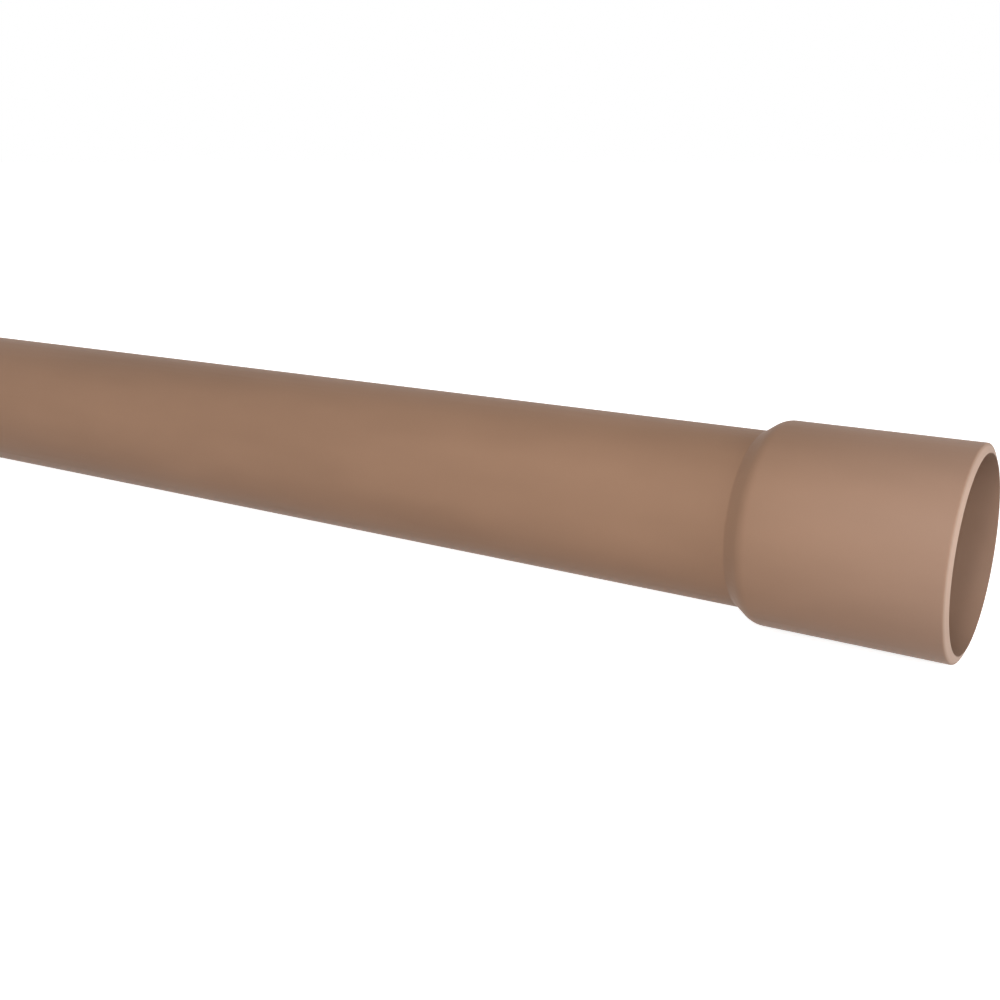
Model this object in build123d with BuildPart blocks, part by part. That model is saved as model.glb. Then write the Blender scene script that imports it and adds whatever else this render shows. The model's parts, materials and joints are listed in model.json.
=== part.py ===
from build123d import *

import os
from math import radians, tan

# Rigid PVC water pipe, 50 mm outside, with a solvent-weld socket formed on one end.
# The pipe is one extruded piece. Its axis lies along X. The origin is the centre of the
# socket's stop, where its straight bore ends at the shoulder. The mouth faces +X and the
# spigot end faces -X. Lengths are in millimetres and angles in degrees.

# Pipe
overall_length = 3000.0
pipe_od = 50.0
pipe_wall = 3.3

# Socket, formed hot over a mandrel, with a bore that passes over a mating spigot
socket_clearance = 0.1
socket_wall = 3.6
socket_depth = 51.0
shoulder_angle = 35.0
shoulder_radius = 6.0
crease_radius = 1.5

# Mouth: a bore that opens as a slow cone, a narrow land, and an end face that slopes back
lead_in_rise = 1.1
lead_in_angle = 5.5
land_width = 0.16
end_face_angle = 22.0
outer_edge_radius = 0.5
inner_edge_radius = 0.08

# Spigot end
spigot_chamfer_depth = 1.5
spigot_chamfer_angle = 15.0
cut_edge_radius = 0.12

# Radii that follow from the sizes above
pipe_radius = pipe_od / 2
waterway_radius = pipe_radius - pipe_wall
socket_bore_radius = pipe_radius + socket_clearance
socket_radius = socket_bore_radius + socket_wall
lead_in_radius = socket_bore_radius + lead_in_rise
land_radius = lead_in_radius + land_width

# Places along the axis
stop_x = 0.0
mouth_x = stop_x + socket_depth
lead_in_x = mouth_x - lead_in_rise / tan(radians(lead_in_angle))
end_face_x = mouth_x - (socket_radius - land_radius) * tan(radians(end_face_angle))
spigot_x = mouth_x - overall_length
spigot_chamfer_x = spigot_x + spigot_chamfer_depth / tan(radians(spigot_chamfer_angle))

# The shoulder's flank runs at one slope between its two bends, outside and inside. Each bend
# has one centre for both sides of the wall, so the wall keeps its thickness through it.
bend_reach = tan(radians(shoulder_angle / 2))
flank_slope = tan(radians(shoulder_angle))
shoulder_x = stop_x - shoulder_radius * bend_reach
crease_x = shoulder_x - (socket_radius - pipe_radius) / flank_slope
bore_end_x = shoulder_x + socket_wall * bend_reach
throat_x = bore_end_x - (socket_bore_radius - waterway_radius) / flank_slope

# Corners of the wall's section, each as the place along the axis and the radius
spigot_bore = (spigot_x, waterway_radius)
spigot_tip = (spigot_x, pipe_radius - spigot_chamfer_depth)
barrel_start = (spigot_chamfer_x, pipe_radius)
crease = (crease_x, pipe_radius)
shoulder = (shoulder_x, socket_radius)
mouth_outer = (end_face_x, socket_radius)
land_outer = (mouth_x, land_radius)
land_inner = (mouth_x, lead_in_radius)
lead_in_end = (lead_in_x, socket_bore_radius)
bore_end = (bore_end_x, socket_bore_radius)
throat = (throat_x, waterway_radius)


def corner(sketch, point):
    """Return the vertex of the section that lies at one of its named corners."""
    return sketch.vertices().sort_by_distance(Vector(*point))[0]


with BuildPart() as pipe:
    with BuildSketch(Plane.XZ) as section:
        with BuildLine():
            Polyline(spigot_bore, spigot_tip, barrel_start, crease, shoulder, mouth_outer,
                     land_outer, land_inner, lead_in_end, bore_end, throat, close=True)
        make_face()

        # The wall bends out into the shoulder, and back into the socket
        fillet(corner(section, crease), crease_radius)
        fillet(corner(section, throat), crease_radius + pipe_wall)
        fillet(corner(section, shoulder), shoulder_radius)
        fillet(corner(section, bore_end), shoulder_radius - socket_wall)

        # Broken edges at the mouth and at the cut end
        fillet(corner(section, mouth_outer), outer_edge_radius)
        fillet([corner(section, land_outer), corner(section, land_inner)], inner_edge_radius)
        fillet([corner(section, spigot_tip), corner(section, spigot_bore)], cut_edge_radius)
    revolve(axis=Axis.X)

pipe.part.label = "pipe"

os.makedirs("parts", exist_ok=True)
export_step(pipe.part, "parts/pipe.step")
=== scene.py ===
import json
from math import acos, cos, hypot, pi, radians, sin, tan

import bpy
from mathutils import Matrix, Vector


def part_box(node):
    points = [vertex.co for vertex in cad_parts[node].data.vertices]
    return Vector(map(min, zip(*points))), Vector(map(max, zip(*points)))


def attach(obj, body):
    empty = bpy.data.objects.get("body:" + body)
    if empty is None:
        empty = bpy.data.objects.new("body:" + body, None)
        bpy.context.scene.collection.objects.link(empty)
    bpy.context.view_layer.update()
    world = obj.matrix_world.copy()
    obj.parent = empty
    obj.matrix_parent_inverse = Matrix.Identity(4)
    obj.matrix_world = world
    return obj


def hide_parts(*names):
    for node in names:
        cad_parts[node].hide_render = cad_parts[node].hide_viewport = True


bl_info = {
    "name": "Belled PVC water pipe",
    "version": (1, 0, 0),
    "blender": (4, 5, 0),
    "location": "3D View > Sidebar > Pipe",
    "description": "Gives the packed water pipe its fine wall, its rigid PVC and a plain studio",
    "category": "Object",
}

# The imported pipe. Its axis lies along X, the mouth faces +X, and the origin is the centre of the
# socket's stop.
MM = 0.001
NODE = "pipe"

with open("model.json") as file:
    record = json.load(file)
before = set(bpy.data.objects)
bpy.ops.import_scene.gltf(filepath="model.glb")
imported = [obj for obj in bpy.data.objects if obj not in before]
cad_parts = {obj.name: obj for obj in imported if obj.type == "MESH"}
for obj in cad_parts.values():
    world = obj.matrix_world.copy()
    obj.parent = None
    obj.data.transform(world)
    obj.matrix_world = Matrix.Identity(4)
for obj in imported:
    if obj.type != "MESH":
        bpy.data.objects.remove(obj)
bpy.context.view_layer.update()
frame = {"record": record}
MOUNTS = {mount["name"]: mount for mount in frame["record"]["mounts"]}
CAD_LOW, CAD_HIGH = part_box(NODE)
MOUTH_X = CAD_HIGH.x
SPIGOT_X = CAD_LOW.x

# Turn between two points of a rounded corner, and the bend from which an edge is drawn sharp
CORNER_STEP = radians(6)
HARD_CORNER = radians(9)

# Patterns of the PVC: how large each is round the pipe, and how many times longer along it
PATCH_SIZE = 20 * MM
PATCH_LONGER = 3
DIE_LINE_SIZE = 1.2 * MM
DIE_LINE_LONGER = 60
PEEL_SIZE = 2.5 * MM

# Most of a noise's values lie between these two
NOISE_LOW = 0.3
NOISE_HIGH = 0.7

# Range of the pigment's drift and of the skin's roughness, and the roughness of a cut
DRIFT = (0.95, 1.05)
SKIN_ROUGHNESS = (0.42, 0.5)
CUT_ROUGHNESS = 0.6

# Bumps of the skin, as strength and height
DIE_LINE_BUMP = (0.15, 0.02 * MM)
PEEL_BUMP = (0.2, 0.05 * MM)

# Refractive index of rigid PVC. The specular level is low, as the photograph shows hardly any
# gloss.
PVC_IOR = 1.53
PVC_SPECULAR = 0.05

# The cut colour of the mouth's end face comes in between these shares of the face's depth,
# counted back from the mouth. This fade, lighter towards the inner edge, is a painted highlight.
FACE_HIGHLIGHT_FROM = 1.05
FACE_HIGHLIGHT_TO = 0.6

# Step of the fade at the other edges of a cut
MASK_EDGE = 0.05 * MM

# The socket's paler colour, partly its own tone and partly a painted highlight, comes in over
# the shoulder by the first share, and grows to the mouth by the second
FORMED_AND_HIGHLIT_FROM = -4 * MM
FORMED_AND_HIGHLIT_TO = 1 * MM
FORMED_AND_HIGHLIT_SHARE = 0.25
STRETCHED_AND_HIGHLIT_SHARE = 0.75

# Camera, worked out from the photograph's perspective: its place in pipe radii from the mouth's
# centre, its turn in degrees, and its focal length in widths of the picture
CAMERA_FROM_MOUTH = (2.2876, -12.5536, 3.8932)
CAMERA_DOWN = 15.669
CAMERA_LEFT = 32.649
FOCAL_WIDTHS = 1.2194
SENSOR_MM = 36.0
NEAREST_SEEN = 10 * MM
FARTHEST_SEEN = 100.0

# The floor reaches this far from the origin on each side
FLOOR_REACH = 30.0

# Softboxes: where on the axis each is turned to, from 0 at the stop to 1 at the spigot, degrees to
# the right of the camera's side, degrees up, width, height, degrees of spread, share of the
# power. All stand at the same distance from what they are turned to. Lengths are in metres.
SOFTBOXES = {
    "Front softbox": (0, 5, 22, 0.68, 0.4, 180, 0.27),
    "Highlight softbox": (0, 4, 38, 0.22, 0.16, 180, 0.9),
    "Right softbox": (0, 42, 28, 0.45, 0.38, 180, 0.76),
    "Mouth softbox": (0, 75, 15, 0.3, 0.3, 180, 0.63),
    "Barrel softbox": (0.62, 0, 38, 2.2, 0.5, 60, 0.75),
    "Back softbox": (0.5, 180, 15, 3.2, 0.5, 180, 2.4),
    "Spigot softbox": (1, 270, 50, 0.4, 0.4, 90, 0.4),
}
SOFTBOX_DISTANCE = 1.05


# Sizes and colours that a user would change

def mount_radius(name):
    """A round mount's radius, in metres."""
    return MOUNTS[name]["dims"]["r_mm"] * MM


class PipeSizes(bpy.types.PropertyGroup):
    """The wall's section, as the part's source gives it, and how finely it is drawn."""

    pipe_radius: bpy.props.FloatProperty(
        name="Pipe radius", description="Outside radius of the straight pipe",
        default=mount_radius("spigot"), unit="LENGTH", precision=5)
    waterway_radius: bpy.props.FloatProperty(
        name="Waterway radius", description="Inside radius of the straight pipe",
        default=mount_radius("waterway"), unit="LENGTH", precision=5)
    socket_bore_radius: bpy.props.FloatProperty(
        name="Socket bore radius", description="Inside radius of the socket past its lead-in",
        default=mount_radius("socket"), unit="LENGTH", precision=5)
    socket_wall: bpy.props.FloatProperty(
        name="Socket wall", description="Wall of the socket",
        default=3.6 * MM, unit="LENGTH", precision=5)
    shoulder_angle: bpy.props.FloatProperty(
        name="Shoulder angle", description="Slope of the shoulder between the pipe and the socket",
        default=radians(35), unit="ROTATION")
    shoulder_radius: bpy.props.FloatProperty(
        name="Shoulder radius", description="Rounding where the shoulder meets the socket",
        default=6 * MM, unit="LENGTH", precision=5)
    crease_radius: bpy.props.FloatProperty(
        name="Crease radius", description="Hollow where the shoulder meets the pipe",
        default=1.5 * MM, unit="LENGTH", precision=5)
    lead_in_rise: bpy.props.FloatProperty(
        name="Lead-in rise", description="How far the mouth opens beyond the socket's bore",
        default=1.1 * MM, unit="LENGTH", precision=5)
    lead_in_angle: bpy.props.FloatProperty(
        name="Lead-in angle", description="Slope of the mouth's lead-in",
        default=radians(5.5), unit="ROTATION")
    land_width: bpy.props.FloatProperty(
        name="Land width", description="Flat ring at the mouth's inner edge",
        default=0.16 * MM, unit="LENGTH", precision=5)
    end_face_angle: bpy.props.FloatProperty(
        name="End face angle", description="How far the mouth's end face slopes back",
        default=radians(22), unit="ROTATION")
    outer_edge_radius: bpy.props.FloatProperty(
        name="Outer edge radius", description="Rounding of the mouth's outer edge",
        default=0.5 * MM, unit="LENGTH", precision=5)
    inner_edge_radius: bpy.props.FloatProperty(
        name="Inner edge radius", description="Rounding of the mouth's two inner edges",
        default=0.08 * MM, unit="LENGTH", precision=5)
    cut_edge_radius: bpy.props.FloatProperty(
        name="Cut edge radius", description="Rounding of the spigot's cut edges",
        default=0.12 * MM, unit="LENGTH", precision=5)
    spigot_chamfer_depth: bpy.props.FloatProperty(
        name="Spigot chamfer depth", description="How much wall the spigot's chamfer takes",
        default=1.5 * MM, unit="LENGTH", precision=5)
    spigot_chamfer_angle: bpy.props.FloatProperty(
        name="Spigot chamfer angle", description="Slope of the spigot's chamfer",
        default=radians(15), unit="ROTATION")
    around: bpy.props.IntProperty(
        name="Facets around", description="Flats in one turn round the pipe",
        default=144, min=24)
    along: bpy.props.FloatProperty(
        name="Length of a facet", description="About how long a facet is along the straight pipe",
        default=20 * MM, unit="LENGTH", precision=4)


class PipeLooks(bpy.types.PropertyGroup):
    """Colours and light, as a user would set them."""

    pvc: bpy.props.StringProperty(
        name="PVC", description="Body colour of the extruded PVC, as sRGB hex", default="#8F705B")
    # Partly a painted highlight: this lighter socket colour also stands in for the sheen near the mouth
    pvc_socket: bpy.props.StringProperty(
        name="Socket PVC", description="Colour of the PVC at the stretched mouth, as sRGB hex",
        default="#957866")
    pvc_cut: bpy.props.StringProperty(
        name="Cut PVC", description="Colour of the PVC where a tool has cut it, as sRGB hex",
        default="#B69C8C")
    floor: bpy.props.StringProperty(
        name="Floor", description="Colour of the studio floor, as sRGB hex", default="#E4E4E4")
    floor_lift: bpy.props.FloatProperty(
        name="Floor white", description="What whitens the floor where it is seen", default=0.88)
    lamp_power: bpy.props.FloatProperty(
        name="Lamp power", description="Power that the softboxes share out", default=5.2,
        unit="POWER")
    room_light: bpy.props.FloatProperty(
        name="Room light", description="Strength of the even light from the walls", default=0.43)
    ceiling: bpy.props.FloatProperty(
        name="Ceiling", description="Share of the room light that the ceiling gives", default=0.25,
        min=0.0, max=1.0, subtype="FACTOR")


# Small helpers

def linear(hex_colour):
    """An sRGB hex colour as linear RGBA."""
    channels = [int(hex_colour[i:i + 2], 16) / 255 for i in (1, 3, 5)]
    return [c / 12.92 if c <= 0.04045 else ((c + 0.055) / 1.055) ** 2.4 for c in channels] + [1.0]


def add_node(tree, kind, settings=None, inputs=None):
    """Adds a node with its settings, and gives each named or numbered input a value or a link."""
    node = tree.nodes.new(kind)
    for name, value in (settings or {}).items():
        setattr(node, name, value)
    for key, value in (inputs or {}).items():
        if isinstance(value, bpy.types.NodeSocket):
            tree.links.new(value, node.inputs[key])
        else:
            node.inputs[key].default_value = value
    return node


def empty_shader(data):
    """The node tree of a material or a world, cleared of the nodes that it starts with."""
    data.use_nodes = True
    data.node_tree.nodes.clear()
    return data.node_tree


def link_object(name, data):
    """A new object in the scene."""
    made = bpy.data.objects.new(name, data)
    bpy.context.scene.collection.objects.link(made)
    return made


# The wall's section

def line_points(start, end, step):
    """Points from start up to but not including end, about a step apart."""
    run = end[0] - start[0]
    rise = end[1] - start[1]
    count = max(1, round(hypot(run, rise) / step))
    return [(start[0] + run * i / count, start[1] + rise * i / count) for i in range(count)]


def rounded(points, radii):
    """A closed outline through points, with each corner rounded to its radius."""
    outline = []
    for i, (point, radius) in enumerate(zip(points, radii)):
        before = Vector(points[i - 1])
        after = Vector(points[(i + 1) % len(points)])
        here = Vector(point)
        if radius <= 0:
            outline.append(tuple(here))
            continue
        back = (before - here).normalized()
        ahead = (after - here).normalized()
        half = acos(max(-1.0, min(1.0, back.dot(ahead)))) / 2
        reach = radius / tan(half)
        centre = here + (back + ahead).normalized() * (radius / sin(half))
        first = here + back * reach - centre
        turn = pi - 2 * half
        side = 1.0 if back.cross(ahead) < 0 else -1.0
        count = max(2, round(turn / CORNER_STEP))
        for k in range(count + 1):
            spoke = Matrix.Rotation(side * turn * k / count, 2) @ first
            outline.append(tuple(centre + spoke))
    return outline


def wall_section(sizes):
    """The closed outline of the wall, as (along the axis, out from it)."""
    socket_radius = sizes.socket_bore_radius + sizes.socket_wall
    lead_in_radius = sizes.socket_bore_radius + sizes.lead_in_rise
    land_radius = lead_in_radius + sizes.land_width
    end_face_x = MOUTH_X - (socket_radius - land_radius) * tan(sizes.end_face_angle)
    lead_in_x = MOUTH_X - sizes.lead_in_rise / tan(sizes.lead_in_angle)
    tip_radius = sizes.pipe_radius - sizes.spigot_chamfer_depth
    chamfer_x = SPIGOT_X + sizes.spigot_chamfer_depth / tan(sizes.spigot_chamfer_angle)
    bend_reach = tan(sizes.shoulder_angle / 2)
    flank_slope = tan(sizes.shoulder_angle)
    shoulder_x = -sizes.shoulder_radius * bend_reach
    crease_x = shoulder_x - (socket_radius - sizes.pipe_radius) / flank_slope
    bore_end_x = shoulder_x + sizes.socket_wall * bend_reach
    throat_x = bore_end_x - (sizes.socket_bore_radius - sizes.waterway_radius) / flank_slope

    # The bends inside turn round the same centres as the bends outside
    bore_end_bend = sizes.shoulder_radius - sizes.socket_wall
    throat_bend = sizes.crease_radius + sizes.pipe_radius - sizes.waterway_radius

    # Each corner and the radius that it is rounded to
    corners = [
        ((SPIGOT_X, sizes.waterway_radius), sizes.cut_edge_radius),
        ((SPIGOT_X, tip_radius), sizes.cut_edge_radius),
        ((chamfer_x, sizes.pipe_radius), 0),
        ((crease_x, sizes.pipe_radius), sizes.crease_radius),
        ((shoulder_x, socket_radius), sizes.shoulder_radius),
        ((end_face_x, socket_radius), sizes.outer_edge_radius),
        ((MOUTH_X, land_radius), sizes.inner_edge_radius),
        ((MOUTH_X, lead_in_radius), sizes.inner_edge_radius),
        ((lead_in_x, sizes.socket_bore_radius), 0),
        ((bore_end_x, sizes.socket_bore_radius), bore_end_bend),
        ((throat_x, sizes.waterway_radius), throat_bend),
    ]
    outline = rounded([corner for corner, radius in corners], [radius for corner, radius in corners])
    drawn = []
    for i, point in enumerate(outline):
        drawn += line_points(point, outline[(i + 1) % len(outline)], sizes.along)
    return drawn


def section_curve(sizes):
    """The wall's section as a closed curve, set out from the circle that it is swept round."""
    data = bpy.data.curves.new("Wall section", "CURVE")
    data.dimensions = "3D"
    outline = wall_section(sizes)
    spline = data.splines.new("POLY")
    spline.points.add(len(outline) - 1)
    for point, (along, out) in zip(spline.points, outline):
        point.co = (out - sizes.pipe_radius, along, 0.0, 1.0)
    spline.use_cyclic_u = True
    return link_object("Wall section", data)


# The tree that turns the section round the axis

def revolve_tree():
    """A Geometry Nodes tree that sweeps the wall's section round a circle about the X axis."""
    tree = bpy.data.node_groups.new("Turn a section round the X axis", "GeometryNodeTree")
    interface = tree.interface
    interface.new_socket("Section", in_out="INPUT", socket_type="NodeSocketGeometry")
    circle_radius = interface.new_socket("Circle radius", in_out="INPUT", socket_type="NodeSocketFloat")
    circle_radius.subtype = "DISTANCE"
    interface.new_socket("Facets around", in_out="INPUT", socket_type="NodeSocketInt")
    hard_corner = interface.new_socket("Hard corner", in_out="INPUT", socket_type="NodeSocketFloat")
    hard_corner.subtype = "ANGLE"
    interface.new_socket("Material", in_out="INPUT", socket_type="NodeSocketMaterial")
    interface.new_socket("Pipe", in_out="OUTPUT", socket_type="NodeSocketGeometry")

    given = tree.nodes.new("NodeGroupInput").outputs
    circle = add_node(tree, "GeometryNodeCurvePrimitiveCircle", {"mode": "RADIUS"}, {
        "Resolution": given["Facets around"], "Radius": given["Circle radius"]})
    # The circle lies in XY here, so its normals point out from the axis all the way round
    outward = add_node(tree, "GeometryNodeSetCurveNormal", {"mode": "Z_UP"}, {
        "Curve": circle.outputs["Curve"]})
    swept = add_node(tree, "GeometryNodeCurveToMesh", {}, {
        "Curve": outward.outputs["Curve"], "Profile Curve": given["Section"]})
    # A quarter turn lays the swept wall along the X axis
    laid = add_node(tree, "GeometryNodeTransform", {}, {
        "Geometry": swept.outputs["Mesh"], "Rotation": (0.0, -pi / 2, 0.0)})
    bend = add_node(tree, "GeometryNodeInputMeshEdgeAngle")
    gentle = add_node(tree, "FunctionNodeCompare", {
        "data_type": "FLOAT", "operation": "LESS_THAN"}, {
        0: bend.outputs["Unsigned Angle"], 1: given["Hard corner"]})
    smooth = add_node(tree, "GeometryNodeSetShadeSmooth", {"domain": "FACE"}, {
        "Geometry": laid.outputs["Geometry"], "Shade Smooth": True})
    creased = add_node(tree, "GeometryNodeSetShadeSmooth", {"domain": "EDGE"}, {
        "Geometry": smooth.outputs["Geometry"], "Shade Smooth": gentle.outputs["Result"]})
    real = add_node(tree, "GeometryNodeRealizeInstances", {}, {
        "Geometry": creased.outputs["Geometry"]})
    finished = add_node(tree, "GeometryNodeSetMaterial", {}, {
        "Geometry": real.outputs["Geometry"], "Material": given["Material"]})
    add_node(tree, "NodeGroupOutput", {}, {"Pipe": finished.outputs["Geometry"]})
    return tree


def grown(name, source, tree, values):
    """Runs a tree on a source curve, keeps the result as a plain mesh and clears the curve away."""
    modifier = source.modifiers.new(tree.name, "NODES")
    modifier.node_group = tree
    sockets = {item.name: item.identifier for item in tree.interface.items_tree
               if item.item_type == "SOCKET" and item.in_out == "INPUT"}
    for socket, value in values.items():
        modifier[sockets[socket]] = value
    depsgraph = bpy.context.evaluated_depsgraph_get()
    mesh = bpy.data.meshes.new_from_object(source.evaluated_get(depsgraph), depsgraph=depsgraph)
    mesh.name = name
    made = link_object(name, mesh)
    leftover = source.data
    source.modifiers.clear()
    bpy.data.objects.remove(source)
    bpy.data.curves.remove(leftover)
    return made


# Materials

def pvc_material(looks, sizes):
    """Extruded rigid PVC: a dense pigment under a satin skin that the die has drawn lengthwise."""
    material = bpy.data.materials.new("Extruded rigid PVC")
    tree = empty_shader(material)
    place = add_node(tree, "ShaderNodeTexCoord").outputs["Object"]

    # Slow drift of the pigment, in patches that are longer along the pipe than round it
    patch = add_node(tree, "ShaderNodeMapping", {}, {
        "Vector": place, "Scale": (1 / PATCH_LONGER, 1.0, 1.0)})
    drift = add_node(tree, "ShaderNodeTexNoise", {}, {
        "Vector": patch.outputs["Vector"], "Scale": 1 / PATCH_SIZE, "Detail": 2.0,
        "Roughness": 0.5})
    # Die lines: faint flow marks along the pipe
    drawn = add_node(tree, "ShaderNodeMapping", {}, {
        "Vector": place, "Scale": (1 / DIE_LINE_LONGER, 1.0, 1.0)})
    die_lines = add_node(tree, "ShaderNodeTexNoise", {}, {
        "Vector": drawn.outputs["Vector"], "Scale": 1 / DIE_LINE_SIZE, "Detail": 3.0,
        "Roughness": 0.6})
    # Cooling skin: a shallow orange peel
    peel = add_node(tree, "ShaderNodeTexNoise", {}, {
        "Vector": place, "Scale": 1 / PEEL_SIZE, "Detail": 2.0, "Roughness": 0.5})

    # Where a tool has cut: the mouth's sloping end face, and the spigot's end and chamfer. The bore
    # is never cut. On the end face the cut colour grows lighter towards its inner edge, which is a
    # painted highlight.
    split = add_node(tree, "ShaderNodeSeparateXYZ", {}, {"Vector": place})
    across = add_node(tree, "ShaderNodeVectorMath", {"operation": "MULTIPLY"}, {
        0: place, 1: (0.0, 1.0, 1.0)})
    out = add_node(tree, "ShaderNodeVectorMath", {"operation": "LENGTH"}, {
        0: across.outputs["Vector"]})
    land_radius = sizes.socket_bore_radius + sizes.lead_in_rise + sizes.land_width
    face_width = sizes.socket_bore_radius + sizes.socket_wall - land_radius
    face_depth = face_width * tan(sizes.end_face_angle)
    # Painted highlight: the cut colour fades in across the end face, lightest at its inner edge
    face_highlight = add_node(tree, "ShaderNodeMapRange", {"clamp": True}, {
        "Value": split.outputs["X"], "From Min": MOUTH_X - FACE_HIGHLIGHT_FROM * face_depth,
        "From Max": MOUTH_X - FACE_HIGHLIGHT_TO * face_depth})
    past_land = add_node(tree, "ShaderNodeMapRange", {"clamp": True}, {
        "Value": out.outputs["Value"], "From Min": land_radius - MASK_EDGE,
        "From Max": land_radius + MASK_EDGE})
    at_mouth = add_node(tree, "ShaderNodeMath", {"operation": "MULTIPLY"}, {
        0: face_highlight.outputs["Result"], 1: past_land.outputs["Result"]})
    chamfer_x = SPIGOT_X + sizes.spigot_chamfer_depth / tan(sizes.spigot_chamfer_angle)
    along_chamfer = add_node(tree, "ShaderNodeMapRange", {"clamp": True}, {
        "Value": split.outputs["X"], "From Min": chamfer_x + 2 * MASK_EDGE,
        "From Max": chamfer_x - 2 * MASK_EDGE})
    past_bore = add_node(tree, "ShaderNodeMapRange", {"clamp": True}, {
        "Value": out.outputs["Value"], "From Min": sizes.waterway_radius + MASK_EDGE,
        "From Max": sizes.waterway_radius + 3 * MASK_EDGE})
    at_spigot = add_node(tree, "ShaderNodeMath", {"operation": "MULTIPLY"}, {
        0: along_chamfer.outputs["Result"], 1: past_bore.outputs["Result"]})
    cut = add_node(tree, "ShaderNodeMath", {"operation": "MAXIMUM"}, {
        0: at_mouth.outputs["Value"], 1: at_spigot.outputs["Value"]})

    # Heating and stretching over a mandrel left the socket paler, and a painted highlight is added
    # on top of that. Both are most at the mouth.
    formed_and_highlit = add_node(tree, "ShaderNodeMapRange", {"interpolation_type": "SMOOTHSTEP"}, {
        "Value": split.outputs["X"], "From Min": FORMED_AND_HIGHLIT_FROM, "From Max": FORMED_AND_HIGHLIT_TO,
        "To Max": FORMED_AND_HIGHLIT_SHARE})
    stretched_and_highlit = add_node(tree, "ShaderNodeMapRange", {"clamp": True}, {
        "Value": split.outputs["X"], "From Min": 0.0, "From Max": MOUTH_X,
        "To Max": STRETCHED_AND_HIGHLIT_SHARE})
    paler = add_node(tree, "ShaderNodeMath", {"operation": "ADD"}, {
        0: formed_and_highlit.outputs["Result"], 1: stretched_and_highlit.outputs["Result"]})
    body = add_node(tree, "ShaderNodeMix", {"data_type": "RGBA"}, {
        0: paler.outputs["Value"], 6: linear(looks.pvc), 7: linear(looks.pvc_socket)})
    skin = add_node(tree, "ShaderNodeMix", {"data_type": "RGBA"}, {
        0: cut.outputs["Value"], 6: body.outputs[2], 7: linear(looks.pvc_cut)})
    tone = add_node(tree, "ShaderNodeMapRange", {}, {
        "Value": drift.outputs["Fac"], "From Min": NOISE_LOW, "From Max": NOISE_HIGH,
        "To Min": DRIFT[0], "To Max": DRIFT[1]})
    colour = add_node(tree, "ShaderNodeVectorMath", {"operation": "SCALE"}, {
        0: skin.outputs[2], "Scale": tone.outputs["Result"]})

    # A satin gloss, a little drier on the die lines and dull where a tool has cut
    rough = add_node(tree, "ShaderNodeMapRange", {}, {
        "Value": die_lines.outputs["Fac"], "From Min": NOISE_LOW, "From Max": NOISE_HIGH,
        "To Min": SKIN_ROUGHNESS[0], "To Max": SKIN_ROUGHNESS[1]})
    rough_cut = add_node(tree, "ShaderNodeMix", {"data_type": "FLOAT"}, {
        0: cut.outputs["Value"], 2: rough.outputs["Result"], 3: CUT_ROUGHNESS})
    line_bump = add_node(tree, "ShaderNodeBump", {}, {
        "Height": die_lines.outputs["Fac"], "Strength": DIE_LINE_BUMP[0],
        "Distance": DIE_LINE_BUMP[1]})
    skin_bump = add_node(tree, "ShaderNodeBump", {}, {
        "Height": peel.outputs["Fac"], "Strength": PEEL_BUMP[0], "Distance": PEEL_BUMP[1],
        "Normal": line_bump.outputs["Normal"]})
    shader = add_node(tree, "ShaderNodeBsdfPrincipled", {}, {
        "Base Color": colour.outputs["Vector"], "Roughness": rough_cut.outputs[0],
        "Normal": skin_bump.outputs["Normal"], "IOR": PVC_IOR,
        "Specular IOR Level": PVC_SPECULAR})
    add_node(tree, "ShaderNodeOutputMaterial", {}, {"Surface": shader.outputs["BSDF"]})
    return material


def seen_directly(tree):
    """1 for rays from the camera and for what gloss or glass shows, 0 for the light on things."""
    path = add_node(tree, "ShaderNodeLightPath").outputs
    gloss = add_node(tree, "ShaderNodeMath", {"operation": "MAXIMUM"}, {
        0: path["Is Camera Ray"], 1: path["Is Glossy Ray"]})
    return add_node(tree, "ShaderNodeMath", {"operation": "MAXIMUM"}, {
        0: gloss.outputs["Value"], 1: path["Is Transmission Ray"]}).outputs["Value"]


def floor_material(looks):
    """A white studio floor that the camera sees as white and that keeps the pipe's shadow."""
    material = bpy.data.materials.new("White studio floor")
    tree = empty_shader(material)
    matte = add_node(tree, "ShaderNodeBsdfDiffuse", {}, {"Color": linear(looks.floor)})
    lift = add_node(tree, "ShaderNodeEmission", {}, {
        "Color": (1.0, 1.0, 1.0, 1.0), "Strength": looks.floor_lift})
    both = add_node(tree, "ShaderNodeAddShader", {}, {
        0: matte.outputs["BSDF"], 1: lift.outputs["Emission"]})
    mixed = add_node(tree, "ShaderNodeMixShader", {}, {
        0: seen_directly(tree), 1: matte.outputs["BSDF"], 2: both.outputs["Shader"]})
    add_node(tree, "ShaderNodeOutputMaterial", {}, {"Surface": mixed.outputs["Shader"]})
    return material


# Studio

def place_camera(scene):
    """The photograph's viewpoint, close to the mouth, with no roll and no shift."""
    data = bpy.data.cameras.new("Camera")
    data.sensor_width = SENSOR_MM
    data.lens = FOCAL_WIDTHS * data.sensor_width
    data.clip_start = NEAREST_SEEN
    data.clip_end = FARTHEST_SEEN
    camera = link_object("Camera", data)
    radius = scene.pipe_sizes.pipe_radius
    camera.location = Vector((MOUTH_X, 0.0, 0.0)) + Vector(CAMERA_FROM_MOUTH) * radius
    camera.rotation_euler = (radians(90 - CAMERA_DOWN), 0.0, radians(CAMERA_LEFT))
    scene.camera = camera


def lay_floor(looks):
    """A broad floor just under the socket, which is what the pipe rests on."""
    data = bpy.data.meshes.new("Floor")
    sides = ((-1, -1), (1, -1), (1, 1), (-1, 1))
    data.from_pydata([(x * FLOOR_REACH, y * FLOOR_REACH, CAD_LOW.z) for x, y in sides],
                     [], [(0, 1, 2, 3)])
    data.materials.append(floor_material(looks))
    link_object("Floor", data)


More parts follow.
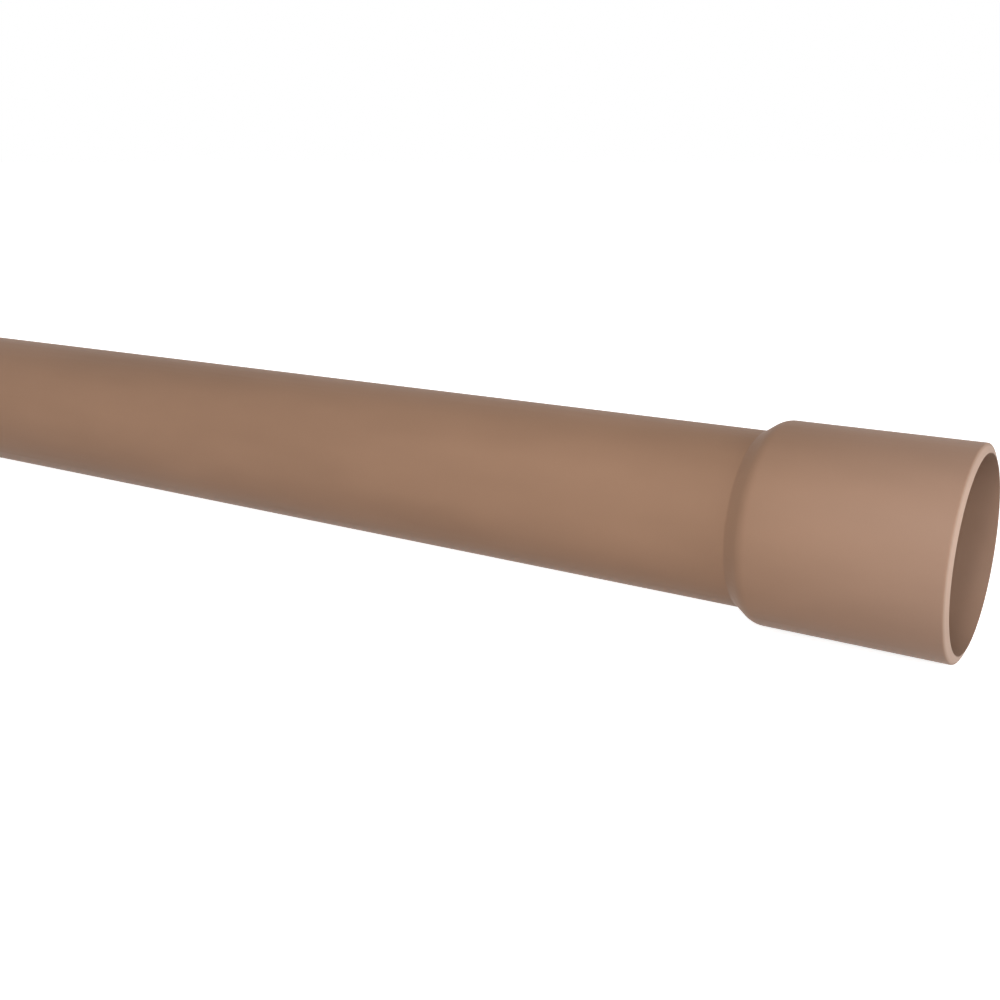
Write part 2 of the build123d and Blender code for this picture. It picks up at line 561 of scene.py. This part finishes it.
def softbox(name, position, target, width, height, spread, power):
    """A rectangular area lamp at a position, turned to a target."""
    data = bpy.data.lights.new(name, "AREA")
    data.shape = "RECTANGLE"
    data.size = width
    data.size_y = height
    data.spread = spread
    data.energy = power
    lamp = link_object(name, data)
    lamp.location = position
    lamp.rotation_euler = (target - position).to_track_quat("-Z", "Y").to_euler()
    return lamp


def set_softboxes(looks):
    """Softboxes round the mouth and along the rest of the pipe, all turned to its axis."""
    for name, (share_along, right, up, width, height, spread, share) in SOFTBOXES.items():
        target = Vector((SPIGOT_X * share_along, 0.0, 0.0))
        level = SOFTBOX_DISTANCE * cos(radians(up))
        position = target + Vector((level * sin(radians(right)), -level * cos(radians(right)),
                                    SOFTBOX_DISTANCE * sin(radians(up))))
        lamp = softbox(name, position, target, width, height, radians(spread),
                       looks.lamp_power * share)
        # The gloss of the back softbox would draw a white line along the pipe's top
        lamp.visible_glossy = name != "Back softbox"


def set_room(scene, looks):
    """A white room: white where it is seen, and an even light on things."""
    world = bpy.data.worlds.new("White room")
    tree = empty_shader(world)
    # The walls are light and the ceiling is dimmer
    aim = add_node(tree, "ShaderNodeSeparateXYZ", {}, {
        "Vector": add_node(tree, "ShaderNodeTexCoord").outputs["Generated"]})
    level = add_node(tree, "ShaderNodeMapRange", {"interpolation_type": "SMOOTHSTEP"}, {
        "Value": aim.outputs["Z"], "From Min": 0.0, "From Max": 1.0,
        "To Min": looks.room_light, "To Max": looks.room_light * looks.ceiling})
    even = add_node(tree, "ShaderNodeBackground", {}, {
        "Color": (1.0, 1.0, 1.0, 1.0), "Strength": level.outputs["Result"]})
    white = add_node(tree, "ShaderNodeBackground", {}, {
        "Color": (1.0, 1.0, 1.0, 1.0), "Strength": 1.0})
    mixed = add_node(tree, "ShaderNodeMixShader", {}, {
        0: seen_directly(tree), 1: even.outputs["Background"], 2: white.outputs["Background"]})
    add_node(tree, "ShaderNodeOutputWorld", {}, {"Surface": mixed.outputs["Shader"]})
    scene.world = world


# Operators, one for each step

class PIPE_OT_studio(bpy.types.Operator):
    """Set the camera, the floor, the softboxes and the even light round the pipe"""

    bl_idname = "pipe.studio"
    bl_label = "Studio"

    def execute(self, context):
        scene = context.scene
        looks = scene.pipe_looks
        scene.view_settings.view_transform = "Standard"
        place_camera(scene)
        lay_floor(looks)
        set_softboxes(looks)
        set_room(scene, looks)
        return {"FINISHED"}


class PIPE_OT_wall(bpy.types.Operator):
    """Draw the pipe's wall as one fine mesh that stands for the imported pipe"""

    bl_idname = "pipe.wall"
    bl_label = "Pipe wall"

    def execute(self, context):
        sizes = context.scene.pipe_sizes
        looks = context.scene.pipe_looks
        pipe = grown("belled_pipe", section_curve(sizes), revolve_tree(), {
            "Circle radius": sizes.pipe_radius,
            "Facets around": sizes.around,
            "Hard corner": HARD_CORNER,
            "Material": pvc_material(looks, sizes)})
        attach(pipe, "root")
        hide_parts(NODE)
        return {"FINISHED"}


class PIPE_PT_panel(bpy.types.Panel):
    """The pipe's steps and what can be changed about them"""

    bl_label = "Water pipe"
    bl_idname = "PIPE_PT_panel"
    bl_space_type = "VIEW_3D"
    bl_region_type = "UI"
    bl_category = "Pipe"

    def draw(self, context):
        for group, operator in ((context.scene.pipe_sizes, PIPE_OT_wall),
                                (context.scene.pipe_looks, PIPE_OT_studio)):
            box = self.layout.box()
            box.operator(operator.bl_idname)
            for name in type(group).__annotations__:
                box.prop(group, name)


CLASSES = (PipeSizes, PipeLooks, PIPE_OT_studio, PIPE_OT_wall, PIPE_PT_panel)


def register():
    """Registers the classes and gives the scene its sizes and looks."""
    for cls in CLASSES:
        bpy.utils.register_class(cls)
    bpy.types.Scene.pipe_sizes = bpy.props.PointerProperty(type=PipeSizes)
    bpy.types.Scene.pipe_looks = bpy.props.PointerProperty(type=PipeLooks)


def unregister():
    """Takes back what register gave."""
    del bpy.types.Scene.pipe_looks
    del bpy.types.Scene.pipe_sizes
    for cls in reversed(CLASSES):
        bpy.utils.unregister_class(cls)


def main():
    """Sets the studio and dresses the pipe."""
    register()
    bpy.ops.pipe.studio()
    bpy.ops.pipe.wall()


if __name__ == "__main__":
    main()
